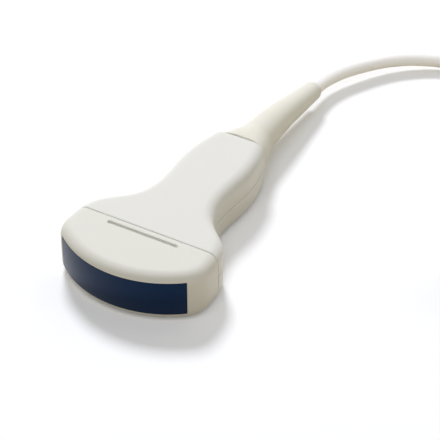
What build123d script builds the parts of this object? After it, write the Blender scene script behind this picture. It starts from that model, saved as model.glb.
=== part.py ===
from build123d import *
import os
from math import cos, pi, radians, sin, sqrt, tan

# Convex-array ultrasound transducer probe with its cable and connector, in millimetres.
# The probe lies flat: acoustic face towards -Y, cable towards +Y, lower face on Z = 0.

os.makedirs("parts", exist_ok=True)

# Housing of the probe; "at" is a distance behind the apex of the acoustic face
overall_length = 183.0  # apex of the acoustic face to the tip of the strain relief
handle_length = 111.0  # apex to the end of the handle
nose_length = 30.4  # apex to the seam between nosepiece and handle
body_thickness = 24.2
edge_radius = 5.5  # roll of the long edges of the upper and lower faces
face_radius = 50.0  # convex radius of the acoustic face
window_angle = 79.2  # angle that the lens spans
window_height = 17.0
nose_corner_radius = 13.0
shoulder_draw, shoulder_share = 7.6, 0.119  # narrower than the nose; share of the way from seam to tail
neck_draw, neck_share = 32.0, 0.28
waist_width, waist_share = 32.8, 0.479
grip_width, grip_share = 34.6, 0.715
tail_width = 27.2
tail_slope = 17.0  # degrees that the sides run in at the end of the handle
wall = 2.2
end_wall = 3.0

# Joints of the housing
lip_length = 4.0  # lip of the nosepiece inside the handle
lip_thickness = 1.0
lip_gap = 0.2
lap_height = 1.2  # lap of the lower handle shell inside the upper one
glue_gap = 0.1

# Bracket groove across the top of the nosepiece
groove_length = 35.8
groove_width = 1.8
groove_depth = 1.0
groove_at = 26.8

# Acoustic stack, from the face inwards
lens_thickness = 2.5
matching_outer_thickness = 0.5
matching_inner_thickness = 0.4
element_thickness = 0.4
element_count = 80
element_kerf = 0.12
array_angle = 72.0
array_height = 14.2
backing_thickness = 10.2
carrier_bar = 3.2  # depth of the bar behind the backing
carrier_clearance = 0.5

# Circuits in the handle
flex_thickness = 0.2
flex_tail_width = 18.0
flex_straight = 14.0  # straight length of the flex tail
board_width = 24.0
board_thickness = 1.6
board_share = 0.33  # front of the board, as a share of the way from seam to tail
connector_width = 20.0
connector_share = 0.175  # of the length of the board
connector_inset_share = 0.025
standoff_share = 0.41
chip_size = 7.0
chip_height = 1.4
chip_pitch_share = 0.42  # of the length of the board behind the connectors
screw_diameter = 2.0
screw_head_diameter = 3.8
screw_head_height = 1.3
screw_length = 7.0
standoff_diameter = 5.0

# Strain relief and cable
cable_diameter = 6.6
boot_clearance = 0.05
boot_neck_diameter = 14.8
boot_flange_diameter = 19.0
boot_flange_thickness = 2.5
boot_tip_diameter = 9.4
boot_collar_width, boot_collar_height = 25.2, 23.9  # against the end of the handle
boot_swell_width, boot_swell_height, boot_swell_reach = 23.0, 22.0, 6.5  # behind the handle
boot_base_diameter, boot_base_reach = 17.6, 14.0
boot_steps = 4
ferrule_diameter = 9.6
ferrule_length = 4.4
jacket_reach = 10.0  # of the jacket into the handle
ribbon_length = 10.0
ribbon_width = 16.0
ribbon_thickness = 1.0

# Route of the cable
bend_share = 0.486  # of the way along the strain relief, where the cable starts to droop
bend_level = 13.2
cable_drift, cable_droop = 0.03, 0.1  # sideways and down for each length past the bend
cable_lead = 15.0  # straight run past the tip of the strain relief
cable_lay = (  # sideways, behind the tip, off the table
    (8.1, 30.6, 4.1),
    (22.2, 51.2, 3.0),
    (44.6, 64.7, 1.7),
    (74.0, 64.9, 1.0),
)
tail_lead = 15.4  # straight runs at the two ends of the tail
coil_lead = 1.0  # last step into the coil

# Coil of the length that is put away, and its tie
coil_radius = 33.0  # to the middle of the turns
coil_columns = 2
coil_layers = 4
coil_x, coil_behind = 102.6, 28.4  # behind the tip of the strain relief
tie_width = 10.0
tie_thickness = 1.0
tie_slack = 0.6

# Connector on the far end of the cable
plug_width = 28.0
plug_length = 46.0
plug_height = 30.0
plug_corner_radius = 4.0
plug_edge_radius = 1.6
plug_wall = 1.8
plug_x, plug_before = 128.2, 43.7  # before the tip of the strain relief
plug_boot_length = 16.0
plug_boot_base = 14.0
plug_neck_diameter = 10.4
plug_flange_diameter = 14.0
shroud_width = 20.0
shroud_height = 18.0
shroud_wall = 1.0
shroud_reach = 8.0  # how far the shroud stands out of the case
shroud_seat = 6.0  # how far it goes in
contact_columns = 8
contact_rows = 5
contact_pitch = 2.0
contact_size = 0.64
contact_length = 14.0
contact_setback = 0.3  # faces of the contacts behind the rim of the shroud
block_setback = 0.5
block_length = 10.5
plug_screw_diameter = 2.5
plug_screw_head = 4.4
plug_screw_head_height = 1.6
plug_screw_length = 20.0
plug_boss_diameter = 5.6
plug_boss_inset = 4.4  # from the outer face of the side walls
plug_boss_spacing = 26.0
plug_board_width = 12.6
plug_board_length = 20.0


def place(at):
    """Give the Y of a point that lies this far behind the apex of the acoustic face."""
    return at - overall_length / 2


def across(at):
    """Give the plane across the probe at this distance behind the apex, facing the cable."""
    return Plane((0, place(at), 0), x_dir=(-1, 0, 0), z_dir=(0, 1, 0))


middle = body_thickness / 2
half_window = radians(window_angle / 2)
arc_centre = place(face_radius)
array_axis = Axis((0, arc_centre, 0), (0, 0, 1))
seam = across(nose_length)
parting = Plane.XY.offset(middle)
nose_width = 2 * ((face_radius - nose_corner_radius) * sin(half_window) + nose_corner_radius)
handle_span = handle_length - nose_length
handle_stations = (
    (nose_width - shoulder_draw, nose_length + shoulder_share * handle_span),
    (nose_width - neck_draw, nose_length + neck_share * handle_span),
    (waist_width, nose_length + waist_share * handle_span),
    (grip_width, nose_length + grip_share * handle_span),
    (tail_width, handle_length),
)


def body_outline(inset=0.0):
    """Give the housing's plan outline, moved inwards by the inset, as a face."""
    reach = face_radius - nose_corner_radius
    corner = Vector(reach * sin(half_window), arc_centre - reach * cos(half_window))
    tail = Vector(-sin(radians(tail_slope)), cos(radians(tail_slope)))
    side = [corner + Vector(nose_corner_radius, 0)]
    side += [Vector(width / 2, place(at)) for width, at in handle_stations]
    runs = [Vector(0, 1)]
    runs += [(after - before).normalized() for before, after in zip(side, side[2:])]
    runs += [tail]
    inner = [point - Vector(run.Y, -run.X) * inset for point, run in zip(side, runs)]
    turn = window_angle / 2
    with BuildSketch() as outline:
        with BuildLine():
            CenterArc((0, arc_centre), face_radius - inset, -90, turn)
            CenterArc(corner, nose_corner_radius - inset, turn - 90, 90 - turn)
            flank = Spline(*inner, tangents=((0, 1), tail))
            Line(flank @ 1, (0, (flank @ 1).Y))
            mirror(about=Plane.YZ)
        make_face()
    return outline.sketch


def long_edges(part):
    """Choose the edges round the upper and lower faces, apart from those at the cable end."""
    levels = part.edges().group_by(Axis.Z)
    return levels[0].sort_by(Axis.Y)[:-1] + levels[-1].sort_by(Axis.Y)[:-1]


def start_of(angle):
    """Give the plane through the centre of the acoustic face where a layer of this angle starts."""
    half = radians(angle / 2)
    outwards = Vector(-sin(half), -cos(half))
    return Plane((0, arc_centre, 0), x_dir=outwards, z_dir=(-cos(half), sin(half), 0))


def layer_section(outer, thickness):
    """Give the section of a layer of the array, to be revolved about the array's axis."""
    with BuildSketch(start_of(array_angle)) as section:
        with Locations((outer - thickness / 2, middle)):
            Rectangle(thickness, array_height)
    return section.sketch


def keep(part, name):
    """Label a finished part and write its file."""
    part.part.label = name
    export_step(part.part, f"parts/{name}.step")


# Blanks that the housing pieces are cut from
with BuildPart() as blank:
    with BuildSketch():
        add(body_outline())
    extrude(amount=body_thickness)
    fillet(long_edges(blank), edge_radius)

with BuildPart() as cavity:
    with BuildSketch(Plane.XY.offset(wall)):
        add(body_outline(wall))
    extrude(amount=body_thickness - 2 * wall)
    fillet(long_edges(cavity), edge_radius - wall)
    split(bisect_by=across(handle_length - end_wall), keep=Keep.BOTTOM)

with BuildPart() as lip_room:
    add(cavity.part)
    split(bisect_by=across(nose_length + lip_length), keep=Keep.TOP)

mouth_width = lip_room.faces().sort_by(Axis.Y)[0].bounding_box().size.X
lip_width = mouth_width - 2 * lip_gap
lip_height = body_thickness - 2 * (wall + lip_gap)
lip_radius = edge_radius - wall - lip_gap
pocket_width = lip_width - 2 * lip_thickness
pocket_height = lip_height - 2 * lip_thickness
stack_radius = face_radius - lens_thickness  # back of the lens

# Nosepiece: window for the lens, pocket for the array, bracket groove, lip for the handle
with BuildPart() as nosepiece:
    add(blank.part)
    split(bisect_by=seam, keep=Keep.BOTTOM)
    with BuildSketch(seam):
        with Locations((0, middle)):
            RectangleRounded(lip_width, lip_height, lip_radius)
    extrude(amount=lip_length)
    with BuildSketch(Plane.XY.offset(middle - pocket_height / 2)):
        with Locations((0, arc_centre)):
            Circle(stack_radius)
        with Locations((0, place(nose_length + lip_length) - face_radius / 2)):
            Rectangle(pocket_width, face_radius, mode=Mode.INTERSECT)
    extrude(amount=pocket_height, mode=Mode.SUBTRACT)
    with BuildSketch(start_of(window_angle)):
        with Locations((face_radius, middle)):
            Rectangle(2 * lens_thickness, window_height)
    revolve(axis=array_axis, revolution_arc=window_angle, mode=Mode.SUBTRACT)
    with BuildSketch(Plane((0, place(groove_at), body_thickness))):
        SlotOverall(groove_length, groove_width)
    extrude(amount=-groove_depth, mode=Mode.SUBTRACT)
keep(nosepiece, "nosepiece")

# Acoustic lens, crowned so that its edges follow the rolled edge of the nosepiece
window_margin = (body_thickness - window_height) / 2
edge_rise = max(edge_radius - window_margin, 0.1)
lens_edge = face_radius - edge_radius + sqrt(edge_radius**2 - edge_rise**2)
with BuildPart() as acoustic_lens:
    with BuildSketch(start_of(window_angle)):
        low, high = middle - window_height / 2, middle + window_height / 2
        with BuildLine():
            Polyline((lens_edge, high), (stack_radius, high), (stack_radius, low), (lens_edge, low))
            ThreePointArc((lens_edge, low), (face_radius, middle), (lens_edge, high))
        make_face()
    revolve(axis=array_axis, revolution_arc=window_angle)
keep(acoustic_lens, "acoustic_lens")

inner_layer_radius = stack_radius - matching_outer_thickness
element_radius = inner_layer_radius - matching_inner_thickness
backing_radius = element_radius - element_thickness
backing_back = backing_radius - backing_thickness

with BuildPart() as outer_matching_layer:
    add(layer_section(stack_radius, matching_outer_thickness))
    revolve(axis=array_axis, revolution_arc=array_angle)
keep(outer_matching_layer, "outer_matching_layer")

with BuildPart() as inner_matching_layer:
    add(layer_section(inner_layer_radius, matching_inner_thickness))
    revolve(axis=array_axis, revolution_arc=array_angle)
keep(inner_matching_layer, "inner_matching_layer")

# Diced piezo elements, each between two saw kerfs
pitch_angle = array_angle / element_count
element_width = radians(pitch_angle) * backing_radius - element_kerf
corner_drop = element_width**2 / (8 * element_radius)
with BuildPart() as piezo_array:
    with Locations((0, arc_centre, middle)):
        with PolarLocations(
            element_radius - element_thickness / 2 - corner_drop,
            element_count,
            start_angle=-90 - (array_angle - pitch_angle) / 2,
            angular_range=array_angle - pitch_angle,
            endpoint=True,
        ):
            Box(element_thickness, element_width, array_height)
keep(piezo_array, "piezo_array")

with BuildPart() as backing_block:
    add(layer_section(backing_radius - 2 * corner_drop, backing_thickness))
    revolve(axis=array_axis, revolution_arc=array_angle)
keep(backing_block, "backing_block")

# Carrier: bar across the pocket, with a saddle that the backing is bonded to
saddle_radius = backing_back - 2 * corner_drop
saddle_width = 2 * saddle_radius * sin(radians(array_angle / 2))
saddle_end = face_radius - saddle_radius * cos(radians(array_angle / 2))
bar_front = saddle_end + carrier_clearance
bar_back = bar_front + carrier_bar
with BuildPart() as array_carrier:
    with BuildSketch(Plane.XY.offset(middle - array_height / 2)):
        with Locations((0, arc_centre)):
            Circle(saddle_radius)
        with Locations((0, place(bar_back) - face_radius / 2)):
            Rectangle(saddle_width, face_radius, mode=Mode.INTERSECT)
        with Locations((0, place((bar_front + bar_back) / 2))):
            Rectangle(pocket_width, carrier_bar)
    extrude(amount=array_height)
keep(array_carrier, "array_carrier")


# Places along the handle: the jacket ends first, then the cores, then the board
cable_start_at = handle_length - jacket_reach
board_end = cable_start_at - ribbon_length
board_at = nose_length + board_share * handle_span
board_length = board_end - board_at
connector_depth = connector_share * board_length
flex_end_at = board_at + connector_inset_share * board_length + connector_depth
flex_taper_at = flex_end_at - flex_straight


def flex_outline():
    """Give the outline of a flex circuit, fanned from the array to its tail, as a face."""
    with BuildSketch() as outline:
        with BuildLine():
            front = CenterArc((0, arc_centre), backing_radius, -90, array_angle / 2)
            Polyline(
                front @ 1,
                (flex_tail_width / 2, place(flex_taper_at)),
                (flex_tail_width / 2, place(flex_end_at)),
                (0, place(flex_end_at)),
            )
            mirror(about=Plane.YZ)
        make_face()
    return outline.sketch


upper_flex_level = middle + array_height / 2
lower_flex_level = middle - array_height / 2 - flex_thickness
with BuildPart() as upper_flex:
    with BuildSketch(Plane.XY.offset(upper_flex_level)):
        add(flex_outline())
    extrude(amount=flex_thickness)
keep(upper_flex, "upper_flex")

with BuildPart() as lower_flex:
    with BuildSketch(Plane.XY.offset(lower_flex_level)):
        add(flex_outline())
    extrude(amount=flex_thickness)
keep(lower_flex, "lower_flex")

# Interconnect board with its two connectors, chips and screws
board_middle = place(board_at + board_length / 2)
standoff_spacing = standoff_share * board_length
chip_pitch = chip_pitch_share * (board_end - flex_end_at)
board_top = middle + board_thickness / 2
board_bottom = middle - board_thickness / 2
standoff_places = ((0, board_middle - standoff_spacing / 2), (0, board_middle + standoff_spacing))
with BuildPart() as interconnect_board:
    with BuildSketch(Plane.XY.offset(board_bottom)):
        with Locations((0, board_middle)):
            RectangleRounded(board_width, board_length, standoff_diameter / 4)
        with Locations(*standoff_places):
            Circle(screw_diameter / 2 + glue_gap, mode=Mode.SUBTRACT)
    extrude(amount=board_thickness)
keep(interconnect_board, "interconnect_board")

connector_height = array_height / 2 - board_thickness / 2
connector_middle = place(flex_end_at - connector_depth / 2)
with BuildPart() as upper_flex_connector:
    with BuildSketch(Plane.XY.offset(board_top)):
        with Locations((0, connector_middle)):
            Rectangle(connector_width, connector_depth)
    extrude(amount=connector_height)
keep(upper_flex_connector, "upper_flex_connector")

with BuildPart() as lower_flex_connector:
    with BuildSketch(Plane.XY.offset(board_bottom)):
        with Locations((0, connector_middle)):
            Rectangle(connector_width, connector_depth)
    extrude(amount=-connector_height)
keep(lower_flex_connector, "lower_flex_connector")

with BuildPart() as board_chips:
    with BuildSketch(Plane.XY.offset(board_top)):
        with Locations((0, place((flex_end_at + board_end) / 2))):
            with GridLocations(board_width - chip_size - 2, chip_pitch, 2, 2):
                Rectangle(chip_size, chip_size)
    extrude(amount=chip_height)
keep(board_chips, "board_chips")

with BuildPart() as board_screws:
    with BuildSketch(Plane.XY.offset(board_top)):
        with Locations(*standoff_places):
            Circle(screw_head_diameter / 2)
    extrude(amount=screw_head_height)
    with BuildSketch(Plane.XY.offset(board_top)):
        with Locations(*standoff_places):
            Circle(screw_diameter / 2)
    extrude(amount=-screw_length)
keep(board_screws, "board_screws")


# Hole in the end wall of the handle for the neck of the strain relief
with BuildPart() as boot_hole:
    with BuildSketch(across(handle_length)):
        with Locations((0, middle)):
            Circle(boot_neck_diameter / 2 + boot_clearance)
    extrude(amount=-2 * end_wall)

# Handle shells, parted at half height with a lap all the way round
with BuildPart() as lap:
    with BuildSketch(parting):
        add(body_outline(wall / 2 + glue_gap))
    extrude(amount=lap_height)
    add(cavity.part, mode=Mode.SUBTRACT)
    split(bisect_by=seam, keep=Keep.TOP)
    split(bisect_by=across(handle_length - end_wall), keep=Keep.BOTTOM)

with BuildPart() as handle_lower_shell:
    add(blank.part)
    split(bisect_by=seam, keep=Keep.TOP)
    split(bisect_by=parting, keep=Keep.BOTTOM)
    add(cavity.part, mode=Mode.SUBTRACT)
    add(lap.part)
    with BuildSketch(Plane.XY.offset(wall / 2)):
        with Locations(*standoff_places):
            Circle(standoff_diameter / 2)
    extrude(amount=board_bottom - wall / 2)
    with BuildSketch(Plane.XY.offset(board_bottom)):
        with Locations(*standoff_places):
            Circle(screw_diameter / 2)
    extrude(amount=board_thickness - screw_length, mode=Mode.SUBTRACT)
    add(boot_hole.part, mode=Mode.SUBTRACT)
keep(handle_lower_shell, "handle_lower_shell")

with BuildPart() as handle_upper_shell:
    add(blank.part)
    split(bisect_by=seam, keep=Keep.TOP)
    split(bisect_by=parting, keep=Keep.TOP)
    add(cavity.part, mode=Mode.SUBTRACT)
    with BuildSketch(parting):
        add(body_outline(wall / 2))
    extrude(amount=lap_height + glue_gap, mode=Mode.SUBTRACT)
    with BuildSketch(across(handle_length)):
        with Locations((0, middle + lap_height)):
            Rectangle(tail_width - wall, 2 * lap_height + 2 * glue_gap)
    extrude(amount=-end_wall)
    split(bisect_by=parting, keep=Keep.TOP)
    add(boot_hole.part, mode=Mode.SUBTRACT)
keep(handle_upper_shell, "handle_upper_shell")


def cable_path(points):
    """Give the cable's path through the points, with each bend as wide as its runs allow."""
    corners = [Vector(x, place(at), z) for x, at, z in points]
    runs = [after - before for before, after in zip(corners, corners[1:])]
    bends = []
    for before, after in zip(runs, runs[1:]):
        half_turn = radians(before.get_angle(after) / 2)
        bends.append(0.45 * min(before.length, after.length) / tan(half_turn))
    with BuildLine() as path:
        FilletPolyline(*corners, radius=bends)
    print("bend radii", [round(bend, 1) for bend in bends])
    return path.wires()[0]


def report_tube(tube, path):
    """Print a tube's volume beside its section times its length."""
    print(round(tube.part.volume), round(pi * cable_diameter**2 / 4 * path.length))


# Strain relief: collar against the handle, then a taper along the cable, with a neck and a
# flange inside that the handle shells hold
boot_swell_at = handle_length + boot_swell_reach
boot_base_at = handle_length + boot_base_reach
bend_at = handle_length + bend_share * (overall_length - handle_length)
tip_run = overall_length - bend_at
lead_run = tip_run + cable_lead
cable_bend = (0.0, bend_at, bend_level)
cable_tip = (cable_drift * tip_run, overall_length, bend_level - cable_droop * tip_run)
cable_down = (cable_drift * lead_run, bend_at + lead_run, bend_level - cable_droop * lead_run)
entry_path = cable_path(((0.0, cable_start_at, middle), cable_bend, cable_tip))
boot_path = cable_path(((0.0, boot_base_at, bend_level), cable_bend, cable_tip))
with BuildPart() as boot_bore:
    with BuildSketch(Plane(entry_path @ 0, z_dir=entry_path % 0)):
        Circle(cable_diameter / 2 + boot_clearance)
    sweep(path=entry_path)
    extrude(boot_bore.faces().sort_by(Axis.Y)[-1], amount=cable_diameter / 4)

with BuildPart() as boot_taper:
    for step in range(boot_steps + 1):
        share = step / boot_steps
        with BuildSketch(Plane(boot_path @ share, x_dir=(-1, 0, 0), z_dir=boot_path % share)):
            Circle((boot_base_diameter * (1 - share) + boot_tip_diameter * share) / 2)
    loft()

with BuildPart() as strain_relief_boot:
    with BuildSketch(across(handle_length)):
        with Locations((0, middle)):
            Ellipse(boot_collar_width / 2, boot_collar_height / 2)
    with BuildSketch(across(boot_swell_at)):
        with Locations((0, middle)):
            Ellipse(boot_swell_width / 2, boot_swell_height / 2)
    with BuildSketch(across(boot_base_at)):
        with Locations((0, bend_level)):
            Circle(boot_base_diameter / 2)
    loft()
    add(boot_taper.part)
    split(bisect_by=across(overall_length), keep=Keep.BOTTOM)
    with BuildSketch(across(handle_length)):
        with Locations((0, middle)):
            Circle(boot_neck_diameter / 2)
    extrude(amount=-end_wall)
    with BuildSketch(across(handle_length - end_wall)):
        with Locations((0, middle)):
            Circle(boot_flange_diameter / 2)
    extrude(amount=-boot_flange_thickness)
    add(boot_bore.part, mode=Mode.SUBTRACT)
keep(strain_relief_boot, "strain_relief_boot")

with BuildPart() as cable_entry:
    with BuildSketch(Plane(entry_path @ 0, z_dir=entry_path % 0)):
        Circle(cable_diameter / 2)
    sweep(path=entry_path)
keep(cable_entry, "cable_entry")

# Crimped ferrule on the end of the jacket, and the fanned cores from there to the board
flange_back = handle_length - end_wall - boot_flange_thickness
with BuildPart() as cable_ferrule:
    with BuildSketch(across(flange_back)):
        with Locations((0, middle)):
            Circle(ferrule_diameter / 2)
    extrude(amount=-ferrule_length)
    add(boot_bore.part, mode=Mode.SUBTRACT)
keep(cable_ferrule, "cable_ferrule")

with BuildPart() as coax_ribbon:
    with BuildSketch(across(board_end)):
        with Locations((0, middle)):
            Rectangle(ribbon_width, ribbon_thickness)
    with BuildSketch(across(cable_start_at - glue_gap)):
        with Locations((0, middle)):
            Circle(cable_diameter / 2 - lip_thickness)
    loft()
keep(coax_ribbon, "coax_ribbon")

# Cable from the strain relief down to the table and on to the outermost turn of the coil
coil_at = overall_length + coil_behind
outer_turn = coil_radius + (coil_columns - 1) * cable_diameter / 2
lowest_turn = tie_thickness + cable_diameter / 2
lying = [(x, overall_length + behind, cable_diameter / 2 + off) for x, behind, off in cable_lay]
into_coil = (coil_x - coil_lead, coil_at + outer_turn, lowest_turn)
run_path = cable_path([cable_tip, cable_down, *lying, into_coil])
with BuildPart() as cable_run:
    with BuildSketch(Plane(run_path @ 0, z_dir=run_path % 0)):
        Circle(cable_diameter / 2)
    sweep(path=run_path)
report_tube(cable_run, run_path)
keep(cable_run, "cable_run")

# Coil: the outer shape of its turns, lifted by the thickness of the tie that is round it
coil_height = coil_layers * cable_diameter
coil_depth = coil_columns * cable_diameter
coil_plane = Plane((coil_x, place(coil_at), tie_thickness), x_dir=(1, 0, 0), z_dir=(0, -1, 0))
with BuildPart() as cable_coil:
    with BuildSketch(coil_plane) as coil_section:
        with Locations((coil_radius, coil_height / 2)):
            Rectangle(coil_depth, coil_height)
        chamfer(coil_section.vertices(), cable_diameter / 4)
    revolve(axis=Axis((coil_x, place(coil_at), 0), (0, 0, 1)))
keep(cable_coil, "cable_coil")

tie_plane = Plane((coil_x, place(coil_at), 0), x_dir=(0, -1, 0), z_dir=(-1, 0, 0))
with BuildPart() as coil_tie:
    with BuildSketch(tie_plane):
        with Locations((coil_radius - tie_slack / 2, tie_thickness + coil_height / 2)):
            Rectangle(coil_depth + tie_slack + 2 * tie_thickness, coil_height + 2 * tie_thickness)
            Rectangle(coil_depth + tie_slack, coil_height, mode=Mode.SUBTRACT)
    extrude(amount=tie_width / 2, both=True)
keep(coil_tie, "coil_tie")

# Cable from the uppermost turn of the coil to the connector's boot
plug_back_at = overall_length - plug_before
plug_tip_at = plug_back_at + plug_boot_length
plug_level = plug_height / 2
highest_turn = lowest_turn + (coil_layers - 1) * cable_diameter
tail_x = coil_x + outer_turn
tail_path = cable_path(
    [
        (tail_x, coil_at, highest_turn),
        (tail_x, coil_at - tail_lead, highest_turn),
        (plug_x, plug_tip_at + tail_lead, plug_level),
        (plug_x, plug_tip_at, plug_level),
    ]
)
with BuildPart() as cable_tail:
    with BuildSketch(Plane(tail_path @ 0, z_dir=tail_path % 0)):
        Circle(cable_diameter / 2)
    sweep(path=tail_path)
report_tube(cable_tail, tail_path)
keep(cable_tail, "cable_tail")

# Connector: two case halves on the cable's far end, with the contacts towards -Y
plug_middle = place(plug_back_at - plug_length / 2)
plug_front_at = plug_back_at - plug_length
boss_x = plug_width / 2 - plug_boss_inset


def plug_across(at):
    """Give the plane across the connector at this distance, facing the contacts."""
    return Plane((plug_x, place(at), plug_level), x_dir=(1, 0, 0), z_dir=(0, -1, 0))


def plug_base(level, up):
    """Give the plane of the connector's lower or upper face, facing into its case."""
    return Plane((plug_x, plug_middle, level), x_dir=(1, 0, 0), z_dir=(0, 0, up))


def case_half(base):
    """Give one half of the connector's case, which stands on the base plane, as a part."""
    with BuildPart() as half:
        with BuildSketch(base):
            RectangleRounded(plug_width, plug_length, plug_corner_radius)
        extrude(amount=plug_height / 2)
        fillet(half.faces().sort_by_distance(base.origin)[0].edges(), plug_edge_radius)
        with BuildSketch(base.offset(plug_wall)):
            RectangleRounded(
                plug_width - 2 * plug_wall,
                plug_length - 2 * plug_wall,
                plug_corner_radius - plug_wall,
            )
        extrude(amount=plug_height / 2, mode=Mode.SUBTRACT)
        with BuildSketch(base.offset(plug_wall / 2)):
            with GridLocations(2 * boss_x, plug_boss_spacing, 2, 2):
                Circle(plug_boss_diameter / 2)
        extrude(amount=(plug_height - plug_wall) / 2)
        with BuildSketch(plug_across(plug_front_at + plug_wall)):
            Rectangle(shroud_width, shroud_height)
        extrude(amount=2 * plug_wall, mode=Mode.SUBTRACT)
        with BuildSketch(plug_across(plug_back_at)):
            Circle(plug_neck_diameter / 2 + boot_clearance)
        extrude(amount=2 * plug_wall, mode=Mode.SUBTRACT)
    return half.part


lower_face = plug_base(0, 1)
upper_face = plug_base(plug_height, -1)
head_seat = plug_screw_head_height + glue_gap
with BuildPart() as connector_lower_shell:
    add(case_half(lower_face))
    with BuildSketch(lower_face):
        with GridLocations(2 * boss_x, plug_boss_spacing, 2, 2):
            Circle(plug_screw_head / 2 + glue_gap)
    extrude(amount=head_seat, mode=Mode.SUBTRACT)
    with BuildSketch(lower_face):
        with GridLocations(2 * boss_x, plug_boss_spacing, 2, 2):
            Circle(plug_screw_diameter / 2 + glue_gap)
    extrude(amount=plug_height / 2, mode=Mode.SUBTRACT)
keep(connector_lower_shell, "connector_lower_shell")

screw_tip = head_seat + plug_screw_length
with BuildPart() as connector_upper_shell:
    add(case_half(upper_face))
    with BuildSketch(lower_face.offset(plug_level)):
        with GridLocations(2 * boss_x, plug_boss_spacing, 2, 2):
            Circle(plug_screw_diameter / 2)
    extrude(amount=screw_tip + glue_gap - plug_level, mode=Mode.SUBTRACT)
keep(connector_upper_shell, "connector_upper_shell")

with BuildPart() as connector_screws:
    with BuildSketch(lower_face.offset(head_seat)):
        with GridLocations(2 * boss_x, plug_boss_spacing, 2, 2):
            Circle(plug_screw_head / 2)
    extrude(amount=-plug_screw_head_height)
    with BuildSketch(lower_face.offset(head_seat)):
        with GridLocations(2 * boss_x, plug_boss_spacing, 2, 2):
            Circle(plug_screw_diameter / 2)
    extrude(amount=plug_screw_length)
keep(connector_screws, "connector_screws")

rim_at = plug_front_at - shroud_reach
with BuildPart() as connector_shroud:
    with BuildSketch(plug_across(plug_front_at + shroud_seat)):
        Rectangle(shroud_width, shroud_height)
        Rectangle(shroud_width - 2 * shroud_wall, shroud_height - 2 * shroud_wall, mode=Mode.SUBTRACT)
    extrude(amount=shroud_seat + shroud_reach)
keep(connector_shroud, "connector_shroud")

with BuildPart() as contact_block:
    with BuildSketch(plug_across(rim_at + block_setback)):
        Rectangle(shroud_width - 2 * shroud_wall, shroud_height - 2 * shroud_wall)
        with GridLocations(contact_pitch, contact_pitch, contact_columns, contact_rows):
            Rectangle(contact_size, contact_size, mode=Mode.SUBTRACT)
    extrude(amount=-block_length)
keep(contact_block, "contact_block")

contact_end = rim_at + contact_setback + contact_length
with BuildPart() as connector_contacts:
    with BuildSketch(plug_across(contact_end)):
        with GridLocations(contact_pitch, contact_pitch, contact_columns, contact_rows):
            Rectangle(contact_size, contact_size)
    extrude(amount=contact_length)
keep(connector_contacts, "connector_contacts")

with BuildPart() as connector_board:
    with BuildSketch(plug_across(contact_end)):
        Rectangle(plug_board_width, board_thickness)
    extrude(amount=-plug_board_length)
keep(connector_board, "connector_board")

plug_flange_at = plug_back_at - plug_wall
with BuildPart() as connector_boot:
    with BuildSketch(plug_across(plug_back_at)):
        Circle(plug_boot_base / 2)
    with BuildSketch(plug_across(plug_tip_at)):
        Circle(boot_tip_diameter / 2)
    loft()
    with BuildSketch(plug_across(plug_back_at)):
        Circle(plug_neck_diameter / 2)
    extrude(amount=plug_wall)
    with BuildSketch(plug_across(plug_flange_at)):
        Circle(plug_flange_diameter / 2)
    extrude(amount=boot_flange_thickness)
    with BuildSketch(plug_across(plug_tip_at)):
        Circle(cable_diameter / 2 + boot_clearance)
    extrude(amount=plug_boot_length + plug_wall + boot_flange_thickness, mode=Mode.SUBTRACT)
keep(connector_boot, "connector_boot")

ferrule_at = plug_flange_at - boot_flange_thickness
with BuildPart() as connector_ferrule:
    with BuildSketch(plug_across(ferrule_at)):
        Circle(ferrule_diameter / 2)
        Circle(cable_diameter / 2 + boot_clearance, mode=Mode.SUBTRACT)
    extrude(amount=ferrule_length)
keep(connector_ferrule, "connector_ferrule")

with BuildPart() as cable_end:
    with BuildSketch(plug_across(plug_tip_at)):
        Circle(cable_diameter / 2)
    extrude(amount=plug_tip_at - ferrule_at + ferrule_length)
keep(cable_end, "cable_end")

with BuildPart() as connector_ribbon:
    with BuildSketch(plug_across(ferrule_at - ferrule_length)):
        Circle(cable_diameter / 2 - lip_thickness)
    with BuildSketch(plug_across(contact_end + plug_board_length)):
        Rectangle(plug_board_width - 2 * lip_thickness, ribbon_thickness)
    loft()
keep(connector_ribbon, "connector_ribbon")
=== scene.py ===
from math import copysign, cos, pi, radians, sin, sqrt

import bmesh
import bpy
import numpy as np
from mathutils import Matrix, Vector


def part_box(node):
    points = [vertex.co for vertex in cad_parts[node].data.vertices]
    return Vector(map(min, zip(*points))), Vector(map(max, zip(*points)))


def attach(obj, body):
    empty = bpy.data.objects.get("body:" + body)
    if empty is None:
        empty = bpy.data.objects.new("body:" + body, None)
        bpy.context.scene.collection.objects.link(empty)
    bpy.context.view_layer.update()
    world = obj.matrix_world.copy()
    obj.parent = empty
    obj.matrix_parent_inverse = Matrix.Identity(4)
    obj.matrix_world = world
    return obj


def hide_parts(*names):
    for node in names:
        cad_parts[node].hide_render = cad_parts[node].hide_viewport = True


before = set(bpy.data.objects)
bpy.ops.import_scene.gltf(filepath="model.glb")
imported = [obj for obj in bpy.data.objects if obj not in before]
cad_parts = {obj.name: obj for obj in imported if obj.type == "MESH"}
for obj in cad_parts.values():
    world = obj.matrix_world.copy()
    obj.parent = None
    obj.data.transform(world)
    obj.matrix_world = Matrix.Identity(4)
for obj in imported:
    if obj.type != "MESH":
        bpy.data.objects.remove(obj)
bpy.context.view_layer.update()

bl_info = {
    "name": "Ultrasound Probe",
    "version": (1, 0, 0),
    "blender": (4, 5, 0),
    "location": "View3D > Sidebar > Probe",
    "description": "Builds a convex-array ultrasound probe with its cable and connector, and a stage for it",
    "category": "Add Mesh",
}

# The probe lies on its lower face: acoustic face towards -Y, cable towards +Y, in metres.
BODY = "root"

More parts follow.
